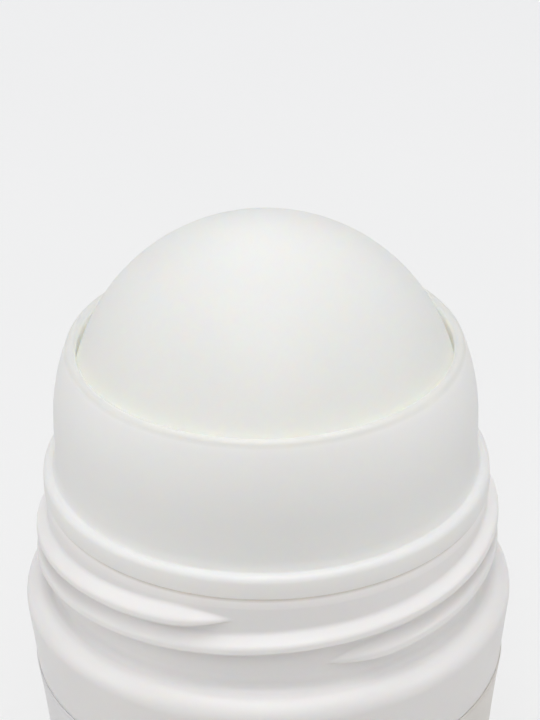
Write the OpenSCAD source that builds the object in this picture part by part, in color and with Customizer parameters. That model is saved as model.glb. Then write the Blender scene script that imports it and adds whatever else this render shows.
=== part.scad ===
// Roll on bottle: a hollow blown bottle, a moulded housing that plugs into its neck and holds
// a hollow ball, and a wrap label. Base on z = 0, +Z up the bottle, the front faces -Y.

/* [Ball] */
// Diameter of the roller ball
ball_d = 35.5; // [28:0.1:44]
// Wall of the hollow ball
ball_wall = 1.4; // [0.8:0.1:3]
// Gap between the ball and the cup that it turns in
ball_gap = 0.3; // [0.2:0.02:0.4]
// Height of the ball's centre above the neck's rim
ball_rise = 7.65; // [6.5:0.05:9]

/* [Ball housing] */
// Wall of the housing beside the ball's equator
housing_wall = 1.35; // [1.1:0.05:2]
// Height of the rim's round above the ball's centre
rim_rise = 6.05; // [5:0.05:7]
// Radius of the rounded rim
rim_round = 0.5; // [0.35:0.05:0.6]
// Drop from the ball's centre to where the wall turns straight
wall_turn_drop = 1; // [0.5:0.1:3]
// How much wider the straight wall is at its foot
wall_draft = 0.13; // [0:0.01:0.4]
// How far the flange stands out past the wall
flange_lip = 1.09; // [0.9:0.01:2]
// Thickness of the flange
flange_h = 2.2; // [1.6:0.1:3]
// Radius of the flange's upper edge
flange_round = 0.8; // [0.3:0.05:1.2]
// Length of the skirt that plugs into the neck
skirt_h = 6; // [4.5:0.1:7.5]
// Wall of the skirt
skirt_wall = 1; // [0.7:0.05:1.2]
// Gap between the skirt and the neck's bore
skirt_gap = 0.08; // [0.04:0.01:0.15]
// Bevel that leads the skirt into the bore
skirt_bevel = 0.4; // [0.2:0.05:0.6]
// Radius of the snap bead's round
bead_round = 0.4; // [0.3:0.05:0.5]
// How far the snap bead stands out of the skirt
bead_rise = 0.3; // [0.15:0.05:0.4]
// Drop from the neck's rim to the snap bead
bead_drop = 3.2; // [2:0.1:4]
// How far the cup's lower half lies below its upper half, which gives the ball room over the seat
cup_drop = 0.5; // [0.3:0.05:0.8]
// Wall of the cup under the ball
cup_wall = 1.3; // [1.2:0.05:1.6]
// Radius of the feed hole in the cup's floor
feed_r = 8.5; // [6:0.1:9.5]
// Number of feed notches round the hole
notch_count = 6; // [3:1:10]
// Width of a feed notch
notch_w = 2.2; // [1.2:0.1:3]
// Length of a feed notch past the hole
notch_l = 3.6; // [2:0.1:4.5]
// Radius of the ring in the cup that the ball sits on
seat_r = 10.6; // [9.8:0.1:13]
// Radius of the seat ring's round
seat_round = 0.5; // [0.35:0.05:0.6]
// Gap between the ball and the seat ring
seat_gap = 0.25; // [0.2:0.01:0.3]

/* [Neck] */
// How far the neck stands in from the flange's edge
neck_inset = 0.17; // [0.05:0.01:0.5]
// Wall of the neck
neck_wall = 1.5; // [1.2:0.05:1.7]
// Height of the neck from the shoulder to the rim
neck_h = 9.7; // [9:0.1:14]
// Height of the bevel round the neck's rim
neck_bevel_h = 1.1; // [0.4:0.1:1.5]
// Depth of the bevel round the neck's rim
neck_bevel_w = 0.25; // [0.1:0.05:0.5]
// Fillet between the neck and the shoulder
neck_fillet = 0.8; // [0.4:0.05:1.15]

/* [Cap thread] */
// Number of thread starts
thread_starts = 3; // [1:1:4]
// Rise of a thread in one full turn
thread_lead = 7.5; // [4:0.1:8]
// Angle that one thread ridge covers
thread_sweep = 217; // [120:1:230]
// Height of the ridge above the neck
thread_h = 1.05; // [0.5:0.05:1.3]
// Width of the ridge at its crest
thread_crest_w = 0.65; // [0.3:0.05:1]
// Height that the ridge's upper slope takes
thread_slope_w = 0.95; // [0.5:0.05:1.1]
// Height that the ridge's underside takes, which is flatter and carries the cap's load
thread_under_w = 0.35; // [0.2:0.05:0.6]
// Angle over which a ridge runs out at each end
thread_runout = 13; // [10:1:40]
// How far a ridge's ends bend away from its middle line
thread_curl = 0.15; // [0:0.05:0.3]
// Drop from the neck's rim to the middle of a ridge's crest at its upper end
thread_drop = 2.45; // [1.9:0.05:3]
// Direction of the first ridge's upper end, from +X towards +Y
thread_angle = 261; // [0:1:360]

/* [Body] */
// How far the shoulder stands out past the neck
shoulder_out = 2.41; // [2:0.01:9]
// Height from the base to the top of the shoulder
body_h = 52.9; // [35:0.1:90]
// Wall of the body
body_wall = 1.3; // [0.8:0.05:2]
// Radius of the shoulder's outer edge
shoulder_round = 1.6; // [0.6:0.05:1.8]
// Radius of the hollow's corners
inner_round = 1.6; // [0.8:0.1:2.5]
// How far the wall leans in between the shoulder and the label panel
body_lean = 0.62; // [0.1:0.02:1]
// Drop from the top of the shoulder to the label panel
panel_drop = 8; // [5:0.05:14]
// Height of the label panel's lower edge
panel_low = 7.6; // [5:0.1:14]
// Depth of the label panel
panel_depth = 0.06; // [0.05:0.01:0.5]
// Height of the slope at the panel's upper and lower edges
panel_edge = 0.2; // [0.1:0.05:0.4]
// How far the panel's waist is drawn in
waist_depth = 1.2; // [0.2:0.05:1.8]
// How far the foot stands in from the shoulder
foot_in = 0.76; // [0:0.01:3]
// Radius of the heel
heel_round = 3; // [1.5:0.1:4.5]
// Width of the ring that the bottle stands on
ring_w = 2.6; // [1.5:0.1:4]
// Height that the base is pushed up inside the ring
push_up = 2.2; // [1:0.1:3.5]
// Wall of the base
base_wall = 1.8; // [1.2:0.1:2.5]
// Length of the pinch-off ridge under the base
pinch_l = 26; // [10:0.5:30]
// Width of the pinch-off ridge
pinch_w = 0.8; // [0.4:0.1:1.5]
// Height of the pinch-off ridge
pinch_h = 0.35; // [0.2:0.05:0.8]

/* [Label] */
// Thickness of the label
label_t = 0.14; // [0.08:0.01:0.2]
// Layer of glue under the label
label_glue = 0.03; // [0.02:0.01:0.05]
// Distance from the panel's edges to the label
label_margin = 0.1; // [0.05:0.05:2]
// Width of the gap where the label's ends meet at the back
label_seam = 1; // [0.4:0.1:3]

/* [Hidden] */

// Smoothness of the preview
facets = 96;
arc_facets = 480;
$fn = facets;

// One overrun for all cuts
overrun = 1;
// How far a thread ridge's foot lies under the neck's surface, and how deep its root goes
thread_foot = 0.05;
thread_root = 0.3;
// Angle between two sections of a thread ridge
thread_step = 5;
// Shares of the ridge: the height where its crest begins, and its width where it runs out
crest_share = 0.9;
runout_share = 0.15;
// Most of the shoulder's step that its fillet may take
fillet_share = 0.47;

// Radii from the ball outwards
ball_r = ball_d / 2;
cup_r = ball_r + ball_gap;
wall_r = cup_r + housing_wall;
wall_foot_r = wall_r + wall_draft;
flange_r = wall_foot_r + flange_lip;
neck_r = flange_r - neck_inset;
bore_r = neck_r - neck_wall;
skirt_r = bore_r - skirt_gap;
body_r = neck_r + shoulder_out;
foot_r = body_r - foot_in;

// Heights from the base upwards
neck_top = body_h + neck_h;
ball_z = neck_top + ball_rise;
panel_high = body_h - panel_drop;

// The housing's heights, measured from the ball's centre
flange_low = -ball_rise;
flange_high = flange_low + flange_h;
turn_z = -wall_turn_drop;

// The rim's round touches the cup on its inside, and the outer arc meets it on its outside
rim_at = [sqrt(pow(cup_r + rim_round, 2) - pow(rim_rise, 2)), rim_rise];
rim_in = rim_at[0] - wall_r;
rim_up = rim_at[1] - turn_z;
arc_r = (pow(rim_in, 2) + pow(rim_up, 2) - pow(rim_round, 2)) / (-2 * (rim_in + rim_round));
arc_at = [wall_r - arc_r, turn_z];
// A point well outside the outer arc is this many arc radii from its centre
arc_reach_share = 1.5;

// The seat ring lies in the cup's floor and stands out towards the ball
seat_from_centre = ball_r + seat_gap + seat_round;
seat_at = [seat_r, -sqrt(pow(seat_from_centre, 2) - pow(seat_r, 2))];

// The snap bead and its groove in the bore have one centre, measured from the neck's rim
bead_at = [skirt_r + bead_rise - bead_round, -bead_drop];

// The shoulder's fillet and edge share the step from the neck to the body
fillet_r = min(neck_fillet, fillet_share * shoulder_out);
edge_r = min(shoulder_round, shoulder_out - fillet_r);

// The label panel's waist is an arc through its upper and lower corners
panel_top_at = [body_r - body_lean - panel_depth, panel_high - panel_edge];
panel_low_at = [foot_r - panel_depth, panel_low + panel_edge];
chord = panel_top_at - panel_low_at;
chord_l = norm(chord);
chord_mid = (panel_top_at + panel_low_at) / 2;
waist_r = (pow(chord_l / 2, 2) + pow(waist_depth, 2)) / (2 * waist_depth);
waist_at = chord_mid + (waist_r - waist_depth) * [chord[1], -chord[0]] / chord_l;

// The base's dome meets the standing ring's inner edge
dome_edge_r = foot_r - heel_round - ring_w;
dome_r = (pow(dome_edge_r, 2) + pow(push_up, 2)) / (2 * push_up);

// Where a line from the point p touches a circle, on the circle's far side from the axis
function touch(p, centre, r) =
    let (d = p - centre, gap = norm(d), turn = atan2(d[1], d[0]) + acos(r / gap))
    centre + r * [cos(turn), sin(turn)];

// A point of the helix: radius v beyond the neck, height u above the ridge's middle line
function ridge_point(angle, z, u, v) =
    [(neck_r + v) * cos(angle), (neck_r + v) * sin(angle), z + u];

// How much of the full ridge stands at an angle a past its upper end
function ridge_share(a) =
    sin(90 * min(1, min(a, thread_sweep - a) / thread_runout));

// How far the ridge's middle line is bent up at its upper end, and down at its lower end
function ridge_bend(a) =
    thread_curl * (1 - ridge_share(a)) * (2 * a < thread_sweep ? 1 : -1);

// Height of the ridge's middle line at an angle a past its upper end
function ridge_z(a) =
    neck_top - thread_drop - thread_lead * a / 360 + ridge_bend(a);

// The ridge's section, scaled by its share s
function ridge_section(s) =
    let (w = runout_share + (1 - runout_share) * s,
         c = w * thread_crest_w / 2,
         under = c + w * thread_under_w,
         over = c + w * thread_slope_w,
         top = s * (thread_h + thread_foot) - thread_foot,
         side = s * (crest_share * thread_h + thread_foot) - thread_foot)
    [[-under, -thread_root], [-under, -thread_foot], [-c, side], [0, top],
     [c, side], [over, -thread_foot], [over, -thread_root]];

// One ridge of the cap thread, from its upper end down
module thread_ridge(start_angle) {
    steps = ceil(thread_sweep / thread_step);
    sides = len(ridge_section(1));
    rings = [for (i = [0:steps])
        let (a = thread_sweep * i / steps)
        [for (q = ridge_section(ridge_share(a)))
            ridge_point(start_angle - a, ridge_z(a), q[0], q[1])]];
    points = [for (ring = rings, q = ring) q];
    walls = [for (i = [0:steps - 1], k = [0:sides - 1], half = [0, 1])
        let (a = i * sides + k, b = i * sides + (k + 1) % sides, c = a + sides, d = b + sides)
        half == 0 ? [a, d, b] : [a, c, d]];
    first = [for (k = [0:sides - 1]) k];
    last = [for (k = [sides - 1:-1:0]) steps * sides + k];
    polyhedron(points = points, faces = concat(walls, [first, last]));
}

// The body's outline, set in from the outer surface by the given wall
module body_outline(inset, floor_z, top_round, heel) {
    top = [body_r - inset - top_round, body_h - inset - top_round];
    low = [foot_r - inset - heel, floor_z + heel];
    lean = [body_r - body_lean - inset, panel_high];
    slope = [panel_depth, -panel_edge];
    cut_top = [panel_top_at[0] - inset, panel_top_at[1]];
    cut_low = [panel_low_at[0] - inset, panel_low_at[1]];
    difference() {
        union() {
            translate(top) circle(r = top_round);
            translate(low) circle(r = heel);
            polygon([[0, floor_z], [low[0], floor_z], low, [low[0] + heel, low[1]],
                     [foot_r - inset, panel_low], lean, touch(lean, top, top_round), top,
                     [top[0], top[1] + top_round], [0, top[1] + top_round]]);
        }
        intersection() {
            translate(waist_at) circle(r = waist_r + inset, $fn = arc_facets);
            polygon([[0, cut_low[1]], cut_low, cut_low + 2 * slope, cut_top + 2 * [slope[0], -slope[1]],
                     cut_top, [0, cut_top[1]]]);
        }
    }
}

// The dome pushed up into the base, grown by a wall
module base_dome(wall) {
    translate([0, 0, push_up - dome_r]) sphere(r = dome_r + wall);
}

module bottle() {
    bevel_z = neck_top - neck_bevel_h;
    hollow_top = body_h - body_wall;
    color([0.93, 0.93, 0.92]) {
        difference() {
            rotate_extrude() {
                body_outline(0, 0, edge_r, heel_round);
                // Fillet at the foot of the neck
                difference() {
                    translate([0, body_h - edge_r]) square([neck_r + fillet_r, edge_r + fillet_r]);
                    translate([neck_r + fillet_r, body_h + fillet_r]) circle(r = fillet_r);
                }
                polygon([[0, body_h - edge_r], [neck_r, body_h - edge_r], [neck_r, bevel_z],
                         [neck_r - neck_bevel_w, neck_top], [0, neck_top]]);
            }
            // Hollow of the body, over a floor that follows the dome
            difference() {
                rotate_extrude() body_outline(body_wall, base_wall, inner_round, inner_round);
                base_dome(base_wall);
            }
            // Bore of the neck, its widened mouth into the body and the groove for the snap bead
            rotate_extrude() {
                translate([0, hollow_top - overrun]) square([bore_r, neck_h + body_wall + 2 * overrun]);
                polygon([[0, hollow_top - overrun], [bore_r + overrun, hollow_top - overrun],
                         [bore_r + overrun, hollow_top], [bore_r, hollow_top + overrun],
                         [0, hollow_top + overrun]]);
                translate([bead_at[0], neck_top + bead_at[1]]) circle(r = bead_round + skirt_gap);
            }
            // The dome under the base, less the pinch-off ridge
            base_dome(-pinch_h);
            difference() {
                base_dome(0);
                translate([-pinch_l / 2, -pinch_w / 2, -dome_r])
                    cube([pinch_l, pinch_w, 2 * dome_r]);
            }
        }
        for (k = [0:thread_starts - 1]) thread_ridge(thread_angle + 360 * k / thread_starts);
    }
}

// The housing's outline, measured from the ball's centre
module housing_outline() {
    // Reach of the square that bounds the cup
    reach = cup_r + cup_wall + cup_drop + overrun;
    skirt_in = skirt_r - skirt_wall;
    skirt_low = flange_low - skirt_h;
    edge = [flange_r - flange_round, flange_high - flange_round];
    difference() {
        union() {
            // Curved upper wall and rounded rim
            intersection() {
                translate(arc_at) circle(r = arc_r, $fn = arc_facets);
                polygon([[0, flange_low], [arc_reach_share * arc_r, flange_low],
                         arc_at + [arc_reach_share * arc_r, 0],
                         arc_at + arc_reach_share * (rim_at - arc_at), rim_at, [0, 0]]);
            }
            translate(rim_at) circle(r = rim_round);
            // Straight wall and flange
            polygon([[0, flange_low], [wall_foot_r, flange_low], [wall_foot_r, flange_high],
                     [wall_r, turn_z], [0, turn_z]]);
            translate(edge) circle(r = flange_round);
            polygon([[0, flange_low], [flange_r, flange_low], [flange_r, edge[1]], edge,
                     [edge[0], flange_high], [0, flange_high]]);
            // Skirt with its lead-in bevel and snap bead
            polygon([[skirt_in, flange_low], [skirt_in, skirt_low], [skirt_r - skirt_bevel, skirt_low],
                     [skirt_r, skirt_low + skirt_bevel], [skirt_r, flange_low]]);
            translate([bead_at[0], flange_low + bead_at[1]]) circle(r = bead_round);
            // Cup under the ball
            intersection() {
                translate([0, -cup_drop]) circle(r = cup_r + cup_wall);
                translate([feed_r, -reach]) square([reach, reach + flange_low + flange_h / 2]);
            }
        }
        // Room for the ball
        circle(r = cup_r);
        translate([0, -cup_drop]) circle(r = cup_r);
        translate([0, -cup_drop]) square([cup_r, cup_drop]);
    }
    // Seat ring in the cup's floor
    translate(seat_at) circle(r = seat_round);
}

module ball_housing() {
    color([0.95, 0.95, 0.94])
        translate([0, 0, ball_z])
            difference() {
                rotate_extrude() housing_outline();
                for (k = [0:notch_count - 1])
                    rotate(360 * k / notch_count)
                        translate([feed_r / 2, -notch_w / 2, -cup_r - cup_wall - cup_drop])
                            cube([feed_r / 2 + notch_l, notch_w, cup_r / 2]);
            }
}

module roller_ball() {
    color([0.93, 0.94, 0.9])
        translate([0, 0, ball_z])
            difference() {
                sphere(r = ball_r);
                sphere(r = ball_r - ball_wall);
            }
}

module wrap_label() {
    low = panel_low_at[1] + label_margin;
    high = panel_top_at[1] - label_margin;
    seam_angle = 360 * label_seam / (2 * PI * foot_r);
    color([0.93, 0.91, 0.88])
        rotate_extrude(angle = 360 - seam_angle, start = 90 + seam_angle / 2)
            intersection() {
                difference() {
                    translate(waist_at) circle(r = waist_r - label_glue, $fn = arc_facets);
                    translate(waist_at) circle(r = waist_r - label_glue - label_t, $fn = arc_facets);
                }
                translate([0, low]) square([body_r, high - low]);
            }
}

bottle();
ball_housing();
roller_ball();
wrap_label();
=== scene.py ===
"""Roll on bottle, dressed for the render.

Lengths are in millimetres up to the mesh builders, which turn them into metres.
The frame is the CAD's: base on z = 0, +Z up, the front faces -Y.
"""

import math

import bmesh
import bpy
from mathutils import Matrix, Vector


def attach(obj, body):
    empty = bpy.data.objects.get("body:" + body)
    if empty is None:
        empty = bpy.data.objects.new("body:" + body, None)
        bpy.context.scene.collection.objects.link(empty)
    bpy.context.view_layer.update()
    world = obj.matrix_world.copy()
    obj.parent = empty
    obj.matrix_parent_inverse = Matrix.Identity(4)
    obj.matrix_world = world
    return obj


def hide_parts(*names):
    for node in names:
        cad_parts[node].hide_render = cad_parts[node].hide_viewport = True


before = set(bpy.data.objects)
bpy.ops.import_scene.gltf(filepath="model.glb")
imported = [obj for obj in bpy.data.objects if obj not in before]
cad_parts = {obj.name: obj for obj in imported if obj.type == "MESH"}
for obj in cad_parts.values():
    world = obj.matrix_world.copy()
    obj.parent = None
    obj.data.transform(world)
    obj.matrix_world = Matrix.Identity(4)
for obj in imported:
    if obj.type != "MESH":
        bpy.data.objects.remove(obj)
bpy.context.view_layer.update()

MM = 0.001

# ---------------------------------------------------------------- main sizes, as in the part's source
BALL_R = 17.75
BALL_Z = 70.25
CUP_R = 18.05
CUP_DROP = 0.5
CUP_WALL = 1.3
NECK_TOP = 62.6
BODY_R = 22.86
NECK_R = 20.45
BORE_R = 18.95
FLANGE_R = 20.62
FOOT_R = 22.1
BODY_WALL = 1.3
LABEL_GLUE = 0.03
LABEL_T = 0.14
# The base: a pushed-up dome inside a flat standing ring, and the heel's round outside it
DOME_R = 16.5
DOME_RISE = 2.2
DOME_SPHERE_R = (DOME_R ** 2 + DOME_RISE ** 2) / (2 * DOME_RISE)
BASE_WALL = 1.8
STANDING_R = 19.1
HEEL_R = 3.0
# The housing, with heights measured from the ball's centre
HOUSING_WALL = 1.35
RIM_RISE = 6.05
RIM_ROUND = 0.5
SKIRT_IN = 17.87
SKIRT_R = 18.87
SKIRT_LOW = -13.65
FLANGE_LOW = -7.65
SEAT_R = 10.6
NOTCH_REACH = 12.1


# ---------------------------------------------------------------- profile helpers
def arc(centre, r, start, end, steps):
    """Points on a circle, angles in degrees, both ends included."""
    out = []
    for i in range(steps + 1):
        a = math.radians(start + (end - start) * i / steps)
        out.append((centre[0] + r * math.cos(a), centre[1] + r * math.sin(a)))
    return out


def line(p, q, steps):
    """Points from p to q without q."""
    return [(p[0] + (q[0] - p[0]) * i / steps, p[1] + (q[1] - p[1]) * i / steps) for i in range(steps)]


def rounded(points, steps=5):
    """A chain of (r, z, radius) corners with each corner rounded by its radius."""
    out = []
    for i, (x, z, rad) in enumerate(points):
        if rad <= 0 or i in (0, len(points) - 1):
            out.append((x, z))
            continue
        p, a, b = Vector((x, z)), Vector(points[i - 1][:2]), Vector(points[i + 1][:2])
        da, db = (a - p).normalized(), (b - p).normalized()
        half = da.angle(db) / 2
        reach = rad / math.tan(half)
        centre = p + (da + db).normalized() * rad / math.sin(half)
        s, e = p + da * reach - centre, p + db * reach - centre
        a0, a1 = math.atan2(s.y, s.x), math.atan2(e.y, e.x)
        turn = (a1 - a0 + math.pi) % (2 * math.pi) - math.pi
        for k in range(steps + 1):
            t = a0 + turn * k / steps
            out.append((centre.x + rad * math.cos(t), centre.y + rad * math.sin(t)))
    return out


def merged(chains):
    """One chain of points, without doubled ones."""
    out = []
    for chain in chains:
        for p in chain:
            if not out or math.hypot(p[0] - out[-1][0], p[1] - out[-1][1]) > 1e-4:
                out.append(p)
    return out


# ---------------------------------------------------------------- mesh helpers
def make_object(name, bm, body, material):
    """An object from a bmesh, riding on a body and smooth all over."""
    bmesh.ops.recalc_face_normals(bm, faces=bm.faces)
    mesh = bpy.data.meshes.new(name)
    bm.to_mesh(mesh)
    bm.free()
    for poly in mesh.polygons:
        poly.use_smooth = True
    obj = bpy.data.objects.new(name, mesh)
    bpy.context.scene.collection.objects.link(obj)
    mesh.materials.append(material)
    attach(obj, body)
    return obj


def even_angles(count, seams=(), seam_step=0.35):
    """Angles in degrees round the axis, with two more beside each mould seam."""
    out = {round(360 * i / count, 4) for i in range(count)}
    for s in seams:
        for k in (-1, 0, 1):
            out.add(round((s + k * seam_step) % 360, 4))
    return sorted(out)


def lathe(profile, angles, radius=None, closed=False):
    """A turned surface. A profile point on the axis becomes one vertex.

    radius(r, z, angle) may change r.
    """
    bm = bmesh.new()
    rings = []
    for r, z in profile:
        if r < 1e-6:
            rings.append([bm.verts.new((0, 0, z * MM))])
            continue
        ring = []
        for a in angles:
            rr = radius(r, z, a) if radius else r
            t = math.radians(a)
            ring.append(bm.verts.new((rr * math.cos(t) * MM, rr * math.sin(t) * MM, z * MM)))
        rings.append(ring)
    pairs = list(zip(rings, rings[1:]))
    if closed:
        pairs.append((rings[-1], rings[0]))
    for low, high in pairs:
        n = max(len(low), len(high))
        for i in range(n):
            j = (i + 1) % n
            if len(low) == 1:
                bm.faces.new((low[0], high[j], high[i]))
            elif len(high) == 1:
                bm.faces.new((low[i], low[j], high[0]))
            else:
                bm.faces.new((low[i], low[j], high[j], high[i]))
    return bm


# ---------------------------------------------------------------- materials
def new_material(name):
    mat = bpy.data.materials.new(name)
    mat.use_nodes = True
    nodes, links = mat.node_tree.nodes, mat.node_tree.links
    shader = nodes["Principled BSDF"]
    coords = nodes.new("ShaderNodeTexCoord").outputs["Object"]
    return mat, nodes, links, shader, coords


def noise(nodes, links, coords, scale, detail=3.0, rough=0.5, distortion=0.0, stretch=None):
    """A noise value from 0 to 1. scale is in features per metre."""
    if stretch:
        mapping = nodes.new("ShaderNodeMapping")
        mapping.inputs["Scale"].default_value = stretch
        links.new(coords, mapping.inputs["Vector"])
        coords = mapping.outputs["Vector"]
    tex = nodes.new("ShaderNodeTexNoise")
    tex.inputs["Scale"].default_value = scale
    tex.inputs["Detail"].default_value = detail
    tex.inputs["Roughness"].default_value = rough
    tex.inputs["Distortion"].default_value = distortion
    links.new(coords, tex.inputs["Vector"])
    return tex.outputs["Fac"]


def remap(nodes, links, value, a, b, c, d):
    """Value from the range a..b to the range c..d, held at its ends."""
    node = nodes.new("ShaderNodeMapRange")
    node.inputs["From Min"].default_value = a
    node.inputs["From Max"].default_value = b
    node.inputs["To Min"].default_value = c
    node.inputs["To Max"].default_value = d
    links.new(value, node.inputs["Value"])
    return node.outputs["Result"]


def mix_colour(nodes, links, fac, a, b):
    """Colour a where fac is 0 and b where it is 1. a and b are colours or sockets."""
    node = nodes.new("ShaderNodeMix")
    node.data_type = "RGBA"
    links.new(fac, node.inputs["Factor"])
    for socket, value in ((node.inputs[6], a), (node.inputs[7], b)):
        if isinstance(value, bpy.types.NodeSocket):
            links.new(value, socket)
        else:
            socket.default_value = (*value, 1)
    return node.outputs[2]


def add_bump(nodes, links, height, distance, strength, previous=None):
    node = nodes.new("ShaderNodeBump")
    node.inputs["Strength"].default_value = strength
    node.inputs["Distance"].default_value = distance
    links.new(height, node.inputs["Height"])
    if previous is not None:
        links.new(previous, node.inputs["Normal"])
    return node.outputs["Normal"]


def moulded_plastic(name, tone, shade, roughness, grain, mottle, spec, sss, depth, spread):
    """White moulded plastic: a faint cloud in the colour, uneven gloss, scuffs and a fine skin."""
    mat, nodes, links, shader, coords = new_material(name)
    cloud = noise(nodes, links, coords, 70, 4, 0.55)
    fine = noise(nodes, links, coords, 3200, 2, 0.5)
    base = mix_colour(nodes, links, remap(nodes, links, cloud, 0.35, 0.68, 0, 1), tone, shade)
    speck = remap(nodes, links, fine, 0.62, 0.8, 0, mottle)
    dark = tuple(0.97 * c for c in shade)
    links.new(mix_colour(nodes, links, speck, base, dark), shader.inputs["Base Color"])
    # Handling leaves the gloss a little uneven
    rub = noise(nodes, links, coords, 160, 5, 0.6, 0.4)
    uneven = remap(nodes, links, rub, 0.3, 0.72, roughness - 0.06, roughness + 0.09)
    links.new(uneven, shader.inputs["Roughness"])
    skin = add_bump(nodes, links, noise(nodes, links, coords, 2600, 2, 0.5), 0.00001, grain)
    waves = add_bump(nodes, links, noise(nodes, links, coords, 110, 2, 0.5), 0.00012, grain, skin)
    links.new(waves, shader.inputs["Normal"])
    shader.inputs["Specular IOR Level"].default_value = spec
    shader.inputs["Subsurface Weight"].default_value = sss
    shader.inputs["Subsurface Radius"].default_value = spread
    shader.inputs["Subsurface Scale"].default_value = depth
    return mat, nodes, links, shader, coords


bottle_mat, nodes, links, shader, coords = moulded_plastic(
    "bottle_plastic", tone=(0.925, 0.908, 0.902), shade=(0.915, 0.902, 0.902), roughness=0.37,
    grain=0.3, mottle=0.25, spec=0.5, sss=0.3, depth=0.0008, spread=(1.0, 0.7, 0.45))
# Painted shade: the neck's colour darkens to a warm grey in the parting line under the housing's flange,
# where the flange's shadow falls
plain = shader.inputs["Base Color"].links[0].from_socket
split = nodes.new("ShaderNodeSeparateXYZ")
links.new(coords, split.inputs["Vector"])
painted_parting_shade = remap(nodes, links, split.outputs["Z"],
                (NECK_TOP - 0.45) * MM, (NECK_TOP - 0.15) * MM, 0, 1)
links.new(mix_colour(nodes, links, painted_parting_shade, plain, (0.60, 0.575, 0.54)), shader.inputs["Base Color"])

HOUSING_SSS = 0.6
HOUSING_DEPTH = 0.0022
housing_mat, nodes, links, shader, coords = moulded_plastic(
    "housing_plastic", tone=(0.94, 0.93, 0.915), shade=(0.93, 0.925, 0.91), roughness=0.42,
    grain=0.2, mottle=0.2, spec=0.4, sss=HOUSING_SSS, depth=HOUSING_DEPTH, spread=(1.0, 0.8, 0.6))
ball_mat, *_ = moulded_plastic(
    "ball_plastic", tone=(0.85, 0.86, 0.85), shade=(0.84, 0.85, 0.84), roughness=0.55,
    grain=0.4, mottle=0.3, spec=0.3, sss=1.0, depth=0.006, spread=(1.0, 0.8, 0.6))

# The housing is thin beside the ball, so light comes through to the inside of its cup
away = nodes.new("ShaderNodeVectorMath")
away.operation = "DISTANCE"
links.new(coords, away.inputs[0])
away.inputs[1].default_value = (0, 0, BALL_Z * MM)
from_ball = away.outputs["Value"]
cup_face = (CUP_R + 0.1) * MM
for socket, at_cup, elsewhere in (("Subsurface Weight", 1.0, HOUSING_SSS),
                                  ("Subsurface Scale", 0.006, HOUSING_DEPTH)):
    deep = remap(nodes, links, from_ball, cup_face, (CUP_R + 0.5) * MM, at_cup, elsewhere)
    links.new(deep, shader.inputs[socket])
plain = shader.inputs["Base Color"].links[0].from_socket
split = nodes.new("ShaderNodeSeparateXYZ")
links.new(coords, split.inputs["Vector"])
# Painted shade: the rim's top is painted greyer than the wall, which tones down the light falling on it
painted_rim_shade = remap(nodes, links, split.outputs["Z"], (BALL_Z + 5.9) * MM, (BALL_Z + 6.4) * MM, 0, 1)
rim_painted_darker = mix_colour(nodes, links, painted_rim_shade, plain, (0.77, 0.77, 0.75))
# Painted light: the cup's inner face is painted a paler, yellower white for the light that comes through the
# housing into the cup
painted_light_in_cup = remap(nodes, links, from_ball, cup_face, (CUP_R + 0.35) * MM, 1, 0)
links.new(mix_colour(nodes, links, painted_light_in_cup, rim_painted_darker, (0.96, 0.955, 0.83)), shader.inputs["Base Color"])

# The film's white turns to cream between these two places left of the middle
WHITE_TO = -13.0
CREAM_FROM = -9.0


def label_material():
    """Plain film: white on the left, soft cream on the right, under a satin lacquer."""
    mat, nodes, links, shader, coords = new_material("label_film")
    split = nodes.new("ShaderNodeSeparateXYZ")
    links.new(coords, split.inputs["Vector"])
    side = remap(nodes, links, split.outputs["X"], WHITE_TO * MM, CREAM_FROM * MM, 0, 1)
    ink = mix_colour(nodes, links, side, (0.86, 0.85, 0.865), (0.82, 0.785, 0.74))
    cloud = remap(nodes, links, noise(nodes, links, coords, 55, 4, 0.6), 0.3, 0.75, 0, 0.35)
    paler = mix_colour(nodes, links, cloud, ink, (0.84, 0.83, 0.81))
    # The film's grain shows as a very fine fleck
    fleck = remap(nodes, links, noise(nodes, links, coords, 3800, 2, 0.5), 0.58, 0.85, 0, 0.3)
    links.new(mix_colour(nodes, links, fleck, paler, (0.72, 0.70, 0.67)), shader.inputs["Base Color"])
    rub = noise(nodes, links, coords, 120, 4, 0.6)
    links.new(remap(nodes, links, rub, 0.3, 0.72, 0.34, 0.48), shader.inputs["Roughness"])
    fine = add_bump(nodes, links, noise(nodes, links, coords, 1500, 2, 0.5), 0.00001, 0.4)
    slack = add_bump(nodes, links, noise(nodes, links, coords, 60, 2, 0.5), 0.0002, 0.2, fine)
    links.new(slack, shader.inputs["Normal"])
    shader.inputs["Specular IOR Level"].default_value = 0.5
    return mat


label_mat = label_material()

# ---------------------------------------------------------------- bottle
# Counted upwards, a ridge rises over RIDGE_UNDER, has a crest of twice RIDGE_CREST
# and falls over RIDGE_OVER
THREADS = 3
LEAD = 7.5
SWEEP = 217.0
RIDGE_H = 1.13
RIDGE_CREST = 0.325
RIDGE_OVER = 0.95
RIDGE_UNDER = 0.35
CREST_TILT = 0.1
CREST_MORE = 0.15
OVER_LESS = 0.3
RUNOUT = 16.5
RUNOUT_SHARE = 0.15
CURL = 0.15
# Towards its lower end, over END_REACH degrees, a ridge stands out a little more and a little lower
END_REACH = 70.0
END_MORE = 0.12
END_DROP = 0.12
THREAD_TOP = NECK_TOP - 2.45
THREAD_ANGLE = 261.0
THREAD_SPAN = (54.4, 61.45)
SOFT_OVER = 0.2
SOFT_UNDER = 0.12
SEAM_OUT = 0.03


def ramp(x, soft):
    """max(x, 0) with its corner rounded over +-soft."""
    if x <= -soft:
        return 0.0
    if x >= soft:
        return x
    return (x + soft) ** 2 / (4 * soft)


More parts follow.
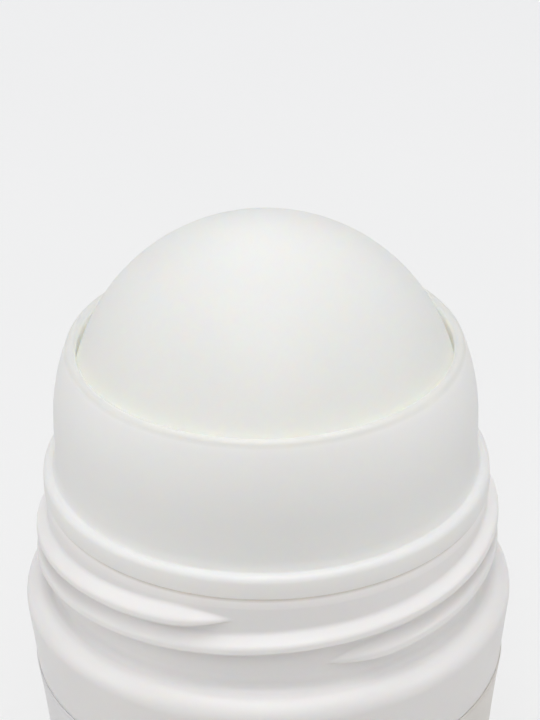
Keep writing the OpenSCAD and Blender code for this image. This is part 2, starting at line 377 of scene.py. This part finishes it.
def thread_height(angle, z):
    """How far the cap thread stands out of the neck at an angle and a height."""
    # On the photograph the ridges sit a little lower on the right
    lower = math.sin(math.radians(2 * (angle - 270))) ** 2 if angle > 270 else 0
    under = RIDGE_CREST + CREST_MORE * lower
    over = RIDGE_OVER - OVER_LESS * lower
    total = 0.0
    for k in range(THREADS):
        a = (THREAD_ANGLE + 360 * k / THREADS - angle) % 360
        if a >= SWEEP:
            continue
        share = math.sin(math.radians(90 * min(1, min(a, SWEEP - a) / RUNOUT)))
        late = max(0.0, 1 - (SWEEP - a) / END_REACH)
        width = RUNOUT_SHARE + (1 - RUNOUT_SHARE) * share
        bend = CURL * (1 - share) * (1 if 2 * a < SWEEP else -1)
        u = (z - (THREAD_TOP - LEAD * a / 360 + bend - END_DROP * late)) / width
        if not -under - RIDGE_UNDER - SOFT_UNDER < u < RIDGE_CREST + over + SOFT_OVER:
            continue
        low = ramp(u + under + RIDGE_UNDER, SOFT_UNDER) - ramp(u + under, SOFT_UNDER)
        top = ramp(u + under, SOFT_UNDER) - ramp(u - RIDGE_CREST, SOFT_OVER)
        high = ramp(u - RIDGE_CREST, SOFT_OVER) - ramp(u - RIDGE_CREST - over, SOFT_OVER)
        rise = RIDGE_H / RIDGE_UNDER
        lean = CREST_TILT / (under + RIDGE_CREST)
        fall = (RIDGE_H - CREST_TILT) / over
        total += share * (1 + END_MORE * late) * (rise * low - lean * top - fall * high)
    return min(total, RIDGE_H * (1 + END_MORE))


PANEL_TOP = Vector((22.156, 44.45))
PANEL_LOW = Vector((22.04, 7.8))
PANEL_SPAN = (9.0, 44.0)
WAIST = 1.2
CHORD = PANEL_TOP - PANEL_LOW
WAIST_R = ((CHORD.length / 2) ** 2 + WAIST ** 2) / (2 * WAIST)
WAIST_AT = (PANEL_TOP + PANEL_LOW) / 2 + (WAIST_R - WAIST) * Vector((CHORD.y, -CHORD.x)) / CHORD.length


def panel_r(z):
    """Radius of the label panel at a height."""
    return WAIST_AT.x - math.sqrt(WAIST_R ** 2 - (z - WAIST_AT.y) ** 2)


def dome_z(r, up=0.0):
    """Height of the base's pushed-up dome at a radius, or of a surface up above it."""
    return DOME_RISE - DOME_SPHERE_R + math.sqrt((DOME_SPHERE_R + up) ** 2 - r * r)


def bottle_outside():
    """Outer profile from the base's middle up to the neck's rim."""
    dome = [(r, dome_z(r)) for r in (0, 2, 4, 6, 8, 10, 12, 13.5, 15, 16)]
    ring = rounded([(16, dome[-1][1], 0), (DOME_R, 0, 0.8), (STANDING_R, 0, 0)], 5)[1:]
    heel = arc((STANDING_R, HEEL_R), HEEL_R, -90, 0, 14)
    low, high = PANEL_SPAN
    low_step = rounded([(FOOT_R, HEEL_R, 0), (FOOT_R, 7.6, 0.1), (*PANEL_LOW, 0.1),
                        (panel_r(low), low, 0)], 3)[1:-1]
    panel = [(panel_r(z), z) for z in [low + (high - low) * i / 36 for i in range(37)]]
    # The wall leans in from the shoulder's round to the panel's upper edge
    edge, at, shoulder_r = Vector((22.201, 44.5)), Vector((21.008, 50.99)), 1.85
    away = edge - at
    turn = math.degrees(math.atan2(away.y, away.x) + math.acos(shoulder_r / away.length))
    shoulder = arc(at, shoulder_r, turn, 81.12, 22)
    start = shoulder[0]
    high_step = rounded([(panel_r(high), high, 0), (*PANEL_TOP, 0.08), (*edge, 0.08),
                         (*start, 0)], 3)[1:-1]
    wall = line(edge.lerp(Vector(start), 0.06), start, 14)
    fillet = arc((21.25, 53.639), 0.8, -98.88, -180, 12)
    # The neck's mould line is a faint step
    mould_line = [(NECK_R + 0.015, 53.72), (NECK_R + 0.015, 54.3), (NECK_R, 54.38)]
    rows, foot, top = 92, 54.45, 61.38
    neck = [(NECK_R, foot + (top - foot) * i / rows) for i in range(rows + 1)]
    rim = rounded([(NECK_R, top, 0), (NECK_R, 61.5, 0.3), (NECK_R - 0.14, NECK_TOP, 0.03),
                   (BORE_R, NECK_TOP, 0.15), (BORE_R, NECK_TOP - 1, 0)], 4)[1:-1]
    return merged([dome, ring, heel, low_step, panel, high_step, wall,
                   shoulder, fillet, mould_line, neck, rim])


def bottle_inside():
    """Inner profile from the neck's rim down to the middle of the floor."""
    bead_z = NECK_TOP - 3.2
    groove = arc((18.77, bead_z), 0.48, 60, -60, 6)
    mouth = [(BORE_R, 52.6), (BORE_R + 1, 51.6)]
    corner = arc((19.96, 50.0), 1.6, 90, -4, 8)
    wall = [(panel_r(z) - BODY_WALL, z) for z in (44, 41, 38, 35, 32, 29, 26, 23, 20, 17, 14, 11, 9)]
    heel = arc((19.2, 3.4), 1.6, 0, -75, 6)
    base = [(r, dome_z(r, BASE_WALL)) for r in (15, 12, 9, 6, 3, 0)]
    return merged([[(BORE_R, NECK_TOP - 1)], groove, mouth, corner, wall, heel, base])


def bottle_radius(r, z, angle):
    """Outer radius with the cap thread and the mould seam, which lies in the plane y = 0."""
    if THREAD_SPAN[0] < z < THREAD_SPAN[1] and r > NECK_R - 0.1:
        r += thread_height(angle, z)
    if r > 19.2 and 1 < z < 62 and min(angle % 180, 180 - angle % 180) < 0.01:
        r = max(r, min(r + SEAM_OUT, BODY_R - 0.002))
    return r


bm = lathe(merged([bottle_outside(), bottle_inside()]), even_angles(480, (0, 180)), bottle_radius)
bottle = make_object("bottle_shell", bm, "body", bottle_mat)
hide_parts("bottle")

# ---------------------------------------------------------------- ball housing
RIM_AT = (math.sqrt((CUP_R + RIM_ROUND) ** 2 - RIM_RISE ** 2), RIM_RISE)
WALL_R = CUP_R + HOUSING_WALL


def housing_profile():
    """Closed profile of the housing, heights measured from the ball's centre."""
    rim_in, rim_up = RIM_AT[0] - WALL_R, RIM_AT[1] + 1
    arc_r = (rim_in ** 2 + rim_up ** 2 - RIM_ROUND ** 2) / (-2 * (rim_in + RIM_ROUND))
    arc_c = (WALL_R - arc_r, -1.0)
    top_angle = math.degrees(math.atan2(RIM_AT[1] - arc_c[1], RIM_AT[0] - arc_c[0]))
    in_angle = math.degrees(math.atan2(RIM_AT[1], RIM_AT[0]))
    upper = arc(arc_c, arc_r, 0, top_angle, 26)
    rim = arc(RIM_AT, RIM_ROUND, top_angle, 180 + in_angle, 14)
    cup_top = arc((0, 0), CUP_R, in_angle, 0, 14)
    cup_low = arc((0, -CUP_DROP), CUP_R, 0, -50.5, 22)
    seat = arc((SEAT_R, -math.sqrt(18.5 ** 2 - SEAT_R ** 2)), 0.5, 20, 220, 8)
    floor_in = arc((0, -CUP_DROP), CUP_R, -57.5, -61.9, 3)
    floor_out = arc((0, -CUP_DROP), CUP_R + CUP_WALL, -63.95, -23.0, 24)
    corner = [(SKIRT_IN, -8.05)]
    skirt = rounded([(SKIRT_IN, -8.05, 0), (SKIRT_IN, SKIRT_LOW, 0.15), (SKIRT_R - 0.4, SKIRT_LOW, 0.1),
                     (SKIRT_R, SKIRT_LOW + 0.4, 0.15), (SKIRT_R, -12, 0)], 3)[1:-1]
    bead = arc((SKIRT_R - 0.1, -10.85), 0.4, -70, 70, 8)
    land = rounded([(SKIRT_R, -9, 0), (SKIRT_R, FLANGE_LOW, 0.05), (FLANGE_R, FLANGE_LOW, 0.2),
                    (FLANGE_R, -7.4, 0)], 4)[1:-1]
    # The flange's edge curves slowly, then round into its top, and the wall's foot
    # flares out of that
    edge = arc((FLANGE_R - 9.0, -6.826), 9.0, 0, 5, 5) + arc((FLANGE_R - 0.682, -6.099), 0.65, 5, 77, 14)[1:]
    flare = arc((19.811, -5.307), 0.2, 255, 203, 6) + arc((22.02, -4.369), 2.6, 203, 180.7, 12)[1:]
    wall = line(flare[-1], (WALL_R, -1.0), 10)[1:]
    return merged([upper, rim, cup_top, cup_low, seat, floor_in, floor_out, corner,
                   skirt, bead, land, edge, flare, wall])


def cut_notches(bm, profile, columns, notches=6, half=5):
    """Cuts the feed notches through the cup's floor, outwards from the feed hole.

    columns is how many columns the mesh has, and half is how many of them a notch takes
    on each side of its middle.
    """
    rings = [i for i, point in enumerate(profile) if point[0] <= NOTCH_REACH]
    first, last = rings[0], rings[-1]
    bm.verts.index_update()
    spot = {v: divmod(v.index, columns) for v in bm.verts}
    grid = {place: v for v, place in spot.items()}
    open_faces, walls = [], []
    for k in range(notches):
        across = [(k * columns // notches + c) % columns for c in range(-half, half + 1)]
        for face in bm.faces:
            if all(first <= spot[v][0] <= last and spot[v][1] in across for v in face.verts):
                open_faces.append(face)
        for c in (across[0], across[-1]):
            walls.append([grid[i, c] for i in range(first, last + 1)])
        for c, d in zip(across, across[1:]):
            walls.append([grid[first, c], grid[first, d], grid[last, d], grid[last, c]])
    bmesh.ops.delete(bm, geom=open_faces, context="FACES_ONLY")
    for verts in walls:
        bm.faces.new(verts)
    bmesh.ops.delete(bm, geom=[e for e in bm.edges if not e.link_faces], context="EDGES")
    bmesh.ops.delete(bm, geom=[v for v in bm.verts if not v.link_faces], context="VERTS")


profile = [(r, z + BALL_Z) for r, z in housing_profile()]
HOUSING_COLUMNS = 288
bm = lathe(profile, even_angles(HOUSING_COLUMNS), closed=True)
cut_notches(bm, profile, HOUSING_COLUMNS)
housing = make_object("housing_shell", bm, "body", housing_mat)
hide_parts("ball_housing")

# ---------------------------------------------------------------- ball
bm = bmesh.new()
bmesh.ops.create_uvsphere(bm, u_segments=160, v_segments=96, radius=BALL_R * MM)
bmesh.ops.translate(bm, verts=bm.verts, vec=(0, 0, BALL_Z * MM))
ball = make_object("ball_shell", bm, "ball", ball_mat)
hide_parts("roller_ball")

# ---------------------------------------------------------------- label
LABEL_LOW = 7.9
LABEL_HIGH = 44.43
LABEL_GAP = 1.0


def label_mesh():
    """A thin wrap round the panel, with a narrow gap where its ends meet at the back."""
    gap = 360 * LABEL_GAP / (2 * math.pi * FOOT_R)
    columns, rows = 300, 26
    bm = bmesh.new()
    heights = [LABEL_LOW + (LABEL_HIGH - LABEL_LOW) * i / rows for i in range(rows + 1)]
    grid = []
    for side in (LABEL_GLUE + LABEL_T, LABEL_GLUE):
        layer = []
        for i in range(columns + 1):
            a = math.radians(90 + gap / 2 + (360 - gap) * i / columns)
            layer.append([bm.verts.new(((panel_r(z) + side) * math.cos(a) * MM,
                                        (panel_r(z) + side) * math.sin(a) * MM, z * MM))
                          for z in heights])
        grid.append(layer)
    out, inn = grid
    for i in range(columns):
        for k in range(rows):
            bm.faces.new((out[i][k], out[i + 1][k], out[i + 1][k + 1], out[i][k + 1]))
            bm.faces.new((inn[i][k], inn[i][k + 1], inn[i + 1][k + 1], inn[i + 1][k]))
        bm.faces.new((out[i][0], inn[i][0], inn[i + 1][0], out[i + 1][0]))
        bm.faces.new((out[i][rows], out[i + 1][rows], inn[i + 1][rows], inn[i][rows]))
    for k in range(rows):
        bm.faces.new((out[0][k], out[0][k + 1], inn[0][k + 1], inn[0][k]))
        bm.faces.new((out[columns][k], inn[columns][k], inn[columns][k + 1], out[columns][k + 1]))
    return bm


label = make_object("label_wrap", label_mesh(), "body", label_mat)
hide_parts("wrap_label")

# ---------------------------------------------------------------- camera
PITCH = math.radians(29.2222)
YAW = math.radians(0.1303)
ROLL = math.radians(-0.7525)
FOCAL_PX = 2476.64
LONG_SIDE_PX = 720
SENSOR = 36.0
CAMERA_AT = (0, -0.19558, 0.18407)

look = Vector((math.sin(YAW) * math.cos(PITCH), math.cos(YAW) * math.cos(PITCH), -math.sin(PITCH)))
level = Vector((math.cos(YAW), -math.sin(YAW), 0))
up = level.cross(look)
right = level * math.cos(ROLL) + up * math.sin(ROLL)
up = up * math.cos(ROLL) - level * math.sin(ROLL)
camera_data = bpy.data.cameras.new("camera")
camera_data.sensor_width = SENSOR
camera_data.lens = FOCAL_PX * SENSOR / LONG_SIDE_PX
camera_data.clip_start = 0.01
camera = bpy.data.objects.new("camera", camera_data)
camera.matrix_world = Matrix.Translation(CAMERA_AT) @ Matrix(
    ((right.x, up.x, -look.x), (right.y, up.y, -look.y), (right.z, up.z, -look.z))).to_4x4()
bpy.context.scene.collection.objects.link(camera)
bpy.context.scene.camera = camera

# ---------------------------------------------------------------- floor, world and lamps
PALE = 0.862
WORLD_LIGHT = 0.264
GLOW_REACH = 2.0
GLOW_NEAR = 0.189
GLOW_FAR = 0.738


def floor_material():
    """Mid grey for the object's light, and the photograph's pale grey to the camera.

    The object's shadow stays on it.
    """
    mat, nodes, links, shader, coords = new_material("floor_matt")
    shader.inputs["Roughness"].default_value = 0.9
    shader.inputs["Specular IOR Level"].default_value = 0.1
    grain = remap(nodes, links, noise(nodes, links, coords, 14, 4, 0.5), 0.3, 0.7, 0, 1)
    grey = mix_colour(nodes, links, grain, (0.685, 0.675, 0.657), (0.695, 0.685, 0.667))
    links.new(grey, shader.inputs["Base Color"])
    path = nodes.new("ShaderNodeLightPath")
    lift = nodes.new("ShaderNodeMath")
    lift.operation = "MAXIMUM"
    links.new(path.outputs["Is Camera Ray"], lift.inputs[0])
    links.new(path.outputs["Is Glossy Ray"], lift.inputs[1])
    more = nodes.new("ShaderNodeMath")
    more.operation = "MAXIMUM"
    links.new(lift.outputs[0], more.inputs[0])
    links.new(path.outputs["Is Transmission Ray"], more.inputs[1])
    # The lamps' light falls off outwards and to the back, while the photograph's backdrop stays even
    away = nodes.new("ShaderNodeVectorMath")
    away.operation = "DISTANCE"
    links.new(coords, away.inputs[0])
    away.inputs[1].default_value = (0, -0.25, 0)
    glow = nodes.new("ShaderNodeMath")
    glow.operation = "MULTIPLY"
    outwards = remap(nodes, links, away.outputs["Value"], 0, GLOW_REACH, GLOW_NEAR, GLOW_FAR)
    links.new(outwards, glow.inputs[1])
    links.new(more.outputs[0], glow.inputs[0])
    shader.inputs["Emission Color"].default_value = (0.90, 0.935, 1, 1)
    links.new(glow.outputs[0], shader.inputs["Emission Strength"])
    return mat


bm = bmesh.new()
bmesh.ops.create_circle(bm, cap_ends=True, segments=96, radius=4.0)
mesh = bpy.data.meshes.new("floor")
bm.to_mesh(mesh)
bm.free()
floor = bpy.data.objects.new("floor", mesh)
bpy.context.scene.collection.objects.link(floor)
mesh.materials.append(floor_material())

world = bpy.data.worlds.new("studio")
world.use_nodes = True
bpy.context.scene.world = world
nodes, links = world.node_tree.nodes, world.node_tree.links
background = nodes["Background"]
path = nodes.new("ShaderNodeLightPath")
seen = nodes.new("ShaderNodeMix")
seen.data_type = "RGBA"
seen.inputs[6].default_value = (WORLD_LIGHT, WORLD_LIGHT, WORLD_LIGHT, 1)
seen.inputs[7].default_value = (PALE, PALE, PALE, 1)
links.new(path.outputs["Is Camera Ray"], seen.inputs["Factor"])
links.new(seen.outputs[2], background.inputs["Color"])
background.inputs["Strength"].default_value = 1.0


def picked(name, objects, state):
    """A collection by which a lamp picks what it lights, or what stands in its way."""
    group = bpy.data.collections.new(name)
    for obj in objects:
        group.objects.link(obj)
    for entry in group.collection_objects:
        entry.light_linking.link_state = state
    return group


# White plastic this thin lets light through, so the housing doesn't shade the ball or the neck
NEITHER = picked("neither_ball_nor_bottle", (ball, bottle), "EXCLUDE")
ONLY_BALL = picked("only_ball", (ball,), "INCLUDE")
ONLY_BOTTLE = picked("only_bottle", (bottle,), "INCLUDE")
ALL_BUT_HOUSING = picked("all_but_housing", (housing,), "EXCLUDE")
LAMP_AIM = Vector((0, 0, 0.06))


def area_lamp(name, at, size, power, ball_power):
    """A soft lamp at one place, in three parts: for the ball, for the bottle and for the rest."""
    parts = (("rest", power, NEITHER, None),
             ("bottle", power, ONLY_BOTTLE, ALL_BUT_HOUSING),
             ("ball", ball_power, ONLY_BALL, ALL_BUT_HOUSING))
    for part, energy, lit, blockers in parts:
        if not energy:
            continue
        data = bpy.data.lights.new(f"{name}_{part}", "AREA")
        data.shape = "SQUARE"
        data.size = size
        data.energy = energy
        obj = bpy.data.objects.new(data.name, data)
        obj.location = at
        obj.rotation_euler = (LAMP_AIM - Vector(at)).to_track_quat("-Z", "Y").to_euler()
        obj.light_linking.receiver_collection = lit
        obj.light_linking.blocker_collection = blockers
        bpy.context.scene.collection.objects.link(obj)


area_lamp("overhead", (0, 0, 1.0), 0.6, 3.98, 0)
area_lamp("front_high", (0, -0.6, 0.9), 0.5, 2.32, 4.87)
area_lamp("back_high", (0, 0.6, 0.9), 0.5, 0, 2.92)
area_lamp("left", (-1.0, -0.2, 0.5), 0.7, 2.58, 2.60)
area_lamp("right", (1.0, -0.2, 0.5), 0.7, 2.25, 2.40)

scene = bpy.context.scene
scene.view_settings.view_transform = "Standard"
